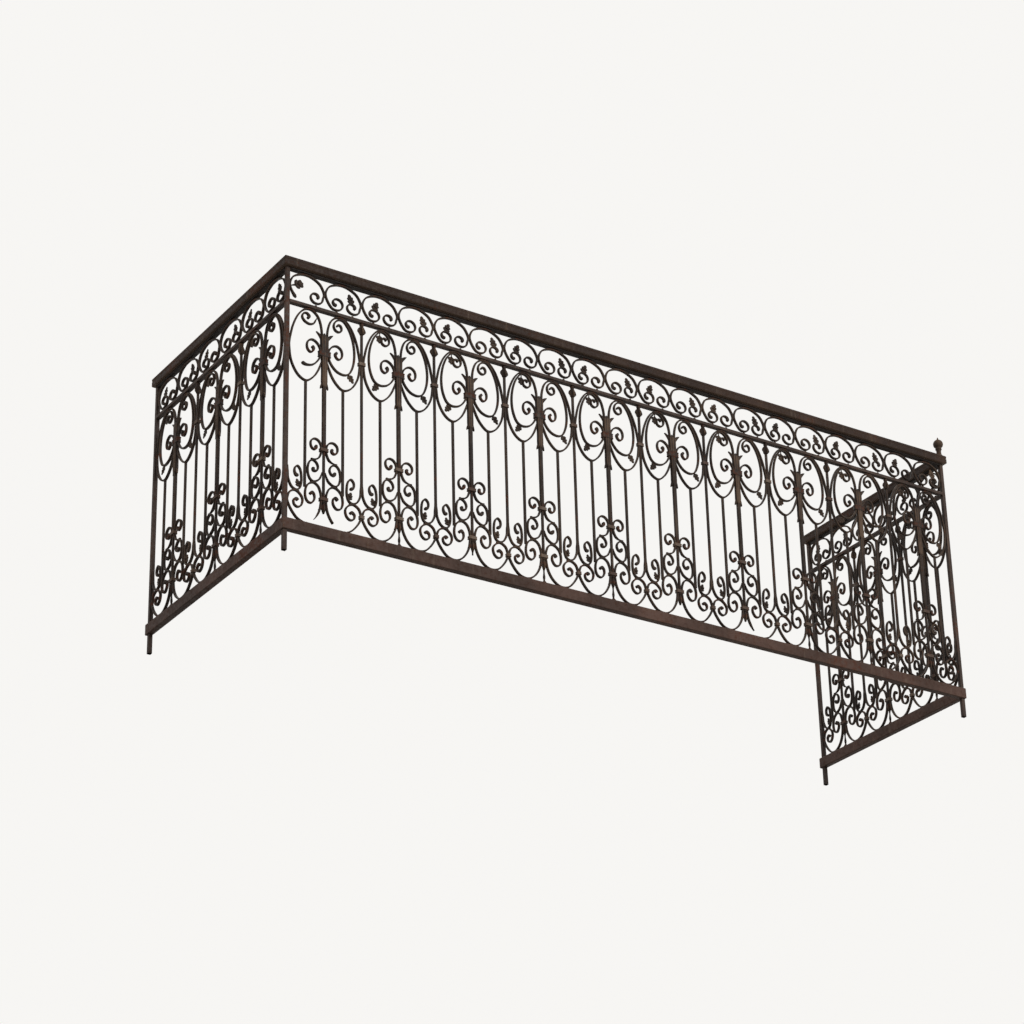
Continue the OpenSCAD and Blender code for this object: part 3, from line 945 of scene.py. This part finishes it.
def iron(name, body, light, wear_amount, rust_amount, built, capped=False):
    """Old oil-painted iron: blotched, rubbed at edges, rusty at joints, dust and painted light
    above, soot and painted shade below.

    A built piece has its edges and joints in its wear. On the others they are found by the shader.
    """
    material = bpy.data.materials.new(name)
    p = Nodes(material)
    place = p.add("ShaderNodeTexCoord").outputs["Object"]
    normal = p.add("ShaderNodeNewGeometry").outputs["Normal"]
    blotch = p.noise(place, *BLOTCH)
    mottle = p.noise(place, *MOTTLE)
    grain = p.noise(place, *GRAIN)
    tall = p.add("ShaderNodeMapping", {"Vector": place, "Scale": STREAK_SCALE}).outputs["Vector"]
    streak = p.noise(tall, *STREAK)

    # Blotches, mottles and streaks of the paint
    mottled = [c * MOTTLE_SHADE for c in body[:3]] + [1.0]
    shade = p.mix(p.span(blotch, 0.35, 0.68), body, light)
    shade = p.mix(p.span(mottle, 0.52, 0.75, 0.0, 0.55), shade, mottled)
    shade = p.mix(p.span(streak, 0.56, 0.78, 0.0, 0.3), shade, DUST_AND_LIGHT)

    if built:
        wear = p.add("ShaderNodeAttribute", attribute_name="wear").outputs["Color"]
        parts = p.add("ShaderNodeSeparateColor", {"Color": wear})
        edge, joint = parts.outputs["Red"], parts.outputs["Green"]
    else:
        soft = p.add("ShaderNodeBevel", {"Radius": EDGE_RADIUS}, samples=6).outputs["Normal"]
        across = p.add("ShaderNodeVectorMath", {0: soft, 1: normal}, operation="DOT_PRODUCT")
        edge = p.span(across.outputs["Value"], 0.995, 0.80)
        joint = p.span(p.noise(place, *PATCH), 0.52, 0.7)

    # Rust at the joints, paint rubbed off at the edges, and dust on top, which also paints the
    # upward faces lighter as if lit from above
    rust = p.span(p.add_up(mottle, p.times(joint, 0.22)), 0.58, 0.78)
    rust = p.times(rust, rust_amount)
    shade = p.mix(rust, shade, RUST)
    rubbed = p.span(p.add_up(p.times(edge, 0.42), blotch), 0.62, 0.95)
    shade = p.mix(p.times(rubbed, wear_amount), shade, WORN)
    tilt = p.height_of(normal)
    # Dust and painted light: upward faces are mixed toward the pale dust colour
    dust_and_top_light = p.times(p.span(tilt, 0.3, 1.0), p.span(mottle, 0.3, 0.62, 0.05, 0.3))
    shade = p.mix(dust_and_top_light, shade, DUST_AND_LIGHT)

    # Soot and painted shade below and in the corners. Under the cap instead, a paler underside
    # painted for light bounced onto it, and the flat rail painted dark as the cap's shadow
    if capped:
        # Painted light: the cap's downward faces are mixed toward a pale colour, standing in for
        # light bounced up onto them
        painted_underside = p.span(tilt, -0.5, -0.9, 0.0, 0.2)
        # Painted shadow: the flat rail below the cap's underside is mixed toward near black, as the
        # cap's shadow
        shaded = p.span(p.height_of(place), CAP_LOW - 0.5 * MM, CAP_LOW - 1.5 * MM, 0.0, 0.95)
        shade = p.mix(painted_underside, shade, DUST_AND_LIGHT)
        shade = p.mix(shaded, shade, CAP_SHADOW_DARK)
    else:
        shelter = {"Distance": SHELTER_REACH}
        open_air = p.add("ShaderNodeAmbientOcclusion", shelter, samples=4).outputs["AO"]
        # Soot and painted shade: downward faces, and corners that the AO node finds sheltered, are
        # darkened as where shade falls
        painted_underside = p.span(tilt, -0.3, -0.9, 0.0, 0.6)
        soot_and_shade_mask = p.math("MAXIMUM", painted_underside, p.span(open_air, 0.88, 0.42, 0.0, 0.88))
        shade = p.mix(soot_and_shade_mask, shade, SOOT_AND_SHADE)

    rough = p.add_up(p.span(mottle, 0.3, 0.7, 0.5, 0.7), p.times(rust, 0.3))
    height = p.add_up(p.times(mottle, 0.7), p.times(grain, 0.35))
    bump = p.add("ShaderNodeBump", {"Height": height, "Strength": 0.5, "Distance": BUMP_HEIGHT})
    if not built:
        p.tree.links.new(soft, bump.inputs["Normal"])
    skin = p.add("ShaderNodeBsdfPrincipled", {
        "Base Color": shade, "Roughness": rough, "Normal": bump.outputs["Normal"],
        "Metallic": 0.0, "Specular IOR Level": GLOSS,
    })
    p.add("ShaderNodeOutputMaterial", {"Surface": skin.outputs["BSDF"]})
    return material


handrail_paint = iron("handrail_paint", COFFEE, COFFEE_LIGHT, 0.4, 0.4, built=False, capped=True)
flat_rail_paint = iron("flat_rail_paint", BROWN, BROWN_LIGHT, 0.6, 0.4, built=False)
low_rail_paint = iron("low_rail_paint", RUSSET, RUSSET_LIGHT, 0.5, 0.5, built=False)
post_paint = iron("post_paint", BROWN, BROWN_LIGHT, 0.5, 0.5, built=False)
scroll_paint = iron("scroll_paint", BRONZE, BRONZE_LIGHT, 0.55, 0.6, built=True)
bar_paint = iron("bar_paint", BRONZE, BRONZE_LIGHT, 0.45, 0.5, built=True)
sheath_paint = iron("sheath_paint", BRONZE, BROWN, 0.45, 0.6, built=True)
collar_paint = iron("collar_paint", BROWN_LIGHT, TAN, 0.7, 0.25, built=True)


# Making the pieces
# How much more the larger faces count in the shading of a smooth piece
FLAT_WEIGHT = 80


def make(work, name, node, paint, slot):
    """Makes an object of a piece's mesh, in place of a node of the frame."""
    mesh = bpy.data.meshes.new(name)
    mesh.from_pydata(work.points, [], work.faces)
    shell = bmesh.new()
    shell.from_mesh(mesh)
    bmesh.ops.recalc_face_normals(shell, faces=shell.faces)
    shell.to_mesh(mesh)
    shell.free()
    wear = mesh.color_attributes.new("wear", "FLOAT_COLOR", "POINT")
    values = []
    for edge, joint in zip(work.wear, work.joint):
        values += (edge, joint, 0.0, 1.0)
    wear.data.foreach_set("color", values)
    mesh.polygons.foreach_set("use_smooth", [True] * len(mesh.polygons))
    mesh.materials.append(paint)
    piece = bpy.data.objects.new(name, mesh)
    bpy.context.scene.collection.objects.link(piece)
    weighted = piece.modifiers.new("flat_faces", "WEIGHTED_NORMAL")
    weighted.weight = FLAT_WEIGHT
    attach(piece, "root")
    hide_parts(node)


BUILDERS = {
    "oval_scrolls": (oval_scrolls, scroll_paint, "iron_paint"),
    "base_scrolls": (base_scrolls, scroll_paint, "iron_paint"),
    "frieze_scrolls": (frieze_scrolls, scroll_paint, "iron_paint"),
    "king_bars": (king_bars, bar_paint, "iron_paint"),
    "sheaths": (sheaths, sheath_paint, "iron_paint"),
    "plain_bars": (plain_bars, bar_paint, "iron_paint"),
    "hung_bars": (hung_bars, bar_paint, "iron_paint"),
    "collars": (collars, collar_paint, "worn_paint"),
}
for side in SIDES:
    for kind, (build, paint, slot) in BUILDERS.items():
        make(build(side), f"{side}_{kind}_forged", f"{side}_{kind}", paint, slot)
make(finial(), "ball_finial_turned", "ball_finial", bar_paint, "iron_paint")

RAIL_PAINTS = {
    "handrail": handrail_paint,
    "frieze_rail": flat_rail_paint,
    "bottom_rail": low_rail_paint,
}
for name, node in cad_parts.items():
    kind = name.split("_", 1)[1]
    node.data.materials.clear()
    node.data.materials.append(RAIL_PAINTS.get(kind, post_paint))

# Floor, light and background
# The lamps point at the railing's middle
MIDDLE = Vector((0, 0, 0.55))
WARM = (1.0, 0.97, 0.93)
WHITE = (1.0, 1.0, 1.0)
PALE = (0.93, 0.92, 0.90)
SOFT_STRENGTH = 0.65


def lamp(name, place, size, power, tint):
    """A square lamp of this many watts."""
    light = bpy.data.lights.new(name, "AREA")
    light.size = size
    light.energy = power
    light.color = tint
    stand = bpy.data.objects.new(name, light)
    stand.location = place
    stand.rotation_euler = (MIDDLE - Vector(place)).to_track_quat("-Z", "Y").to_euler()
    bpy.context.scene.collection.objects.link(stand)


lamp("key", (2.2, -10.0, 6.4), 4.3, 665, WARM)
lamp("fill", (6.5, -4.0, 2.6), 4.0, 45, WHITE)
lamp("back", (1.5, 6.5, 4.5), 4.0, 150, WHITE)

# The world is pale to the camera, and in what glossy and clear surfaces show, and lights softly
world = bpy.data.worlds.new("world")
bpy.context.scene.world = world
sky = Nodes(world)
ray = sky.add("ShaderNodeLightPath").outputs
seen = sky.math("MAXIMUM", ray["Is Camera Ray"], ray["Is Glossy Ray"])
seen = sky.math("MAXIMUM", seen, ray["Is Transmission Ray"])
soft = sky.add("ShaderNodeBackground", {"Color": (*WARM, 1), "Strength": SOFT_STRENGTH})
pale = sky.add("ShaderNodeBackground", {"Color": (*PALE, 1), "Strength": 1.0})
choose = sky.add("ShaderNodeMixShader", {0: seen, 1: soft.outputs[0], 2: pale.outputs[0]})
sky.add("ShaderNodeOutputWorld", {"Surface": choose.outputs[0]})

# The photograph is taken from below, so the floor shows only from above, with the shadow on it.
# It fades into the background around the railing
FLOOR_HALF = 14
FLOOR_DARK = (0.74, 0.74, 0.73, 1)
FLOOR_LIGHT = (0.78, 0.78, 0.77, 1)
FLOOR_SCALE = 2.0
FADE_START = 2.8
FADE_END = 6.5
floor_mesh = bpy.data.meshes.new("floor")
floor_mesh.from_pydata(
    [(x * FLOOR_HALF, y * FLOOR_HALF, 0) for x, y in ((-1, -1), (1, -1), (1, 1), (-1, 1))],
    [], [(0, 1, 2, 3)],
)
floor = bpy.data.objects.new("floor", floor_mesh)
bpy.context.scene.collection.objects.link(floor)
floor_paint = bpy.data.materials.new("floor_pale")
ground = Nodes(floor_paint)
floor_place = ground.add("ShaderNodeTexCoord").outputs["Object"]
tone = ground.mix(ground.noise(floor_place, FLOOR_SCALE, 3), FLOOR_DARK, FLOOR_LIGHT)
matte = ground.add("ShaderNodeBsdfDiffuse", {"Color": tone})
clear = ground.add("ShaderNodeBsdfTransparent")
beneath = ground.add("ShaderNodeNewGeometry").outputs["Backfacing"]
away = ground.add("ShaderNodeVectorMath", {0: floor_place}, operation="LENGTH").outputs["Value"]
hidden = ground.math("MAXIMUM", beneath, ground.span(away, FADE_START, FADE_END))
shown = ground.add("ShaderNodeMixShader", {0: hidden, 1: matte.outputs[0], 2: clear.outputs[0]})
ground.add("ShaderNodeOutputMaterial", {"Surface": shown.outputs[0]})
floor_mesh.materials.append(floor_paint)

bpy.context.scene.view_settings.view_transform = "Standard"
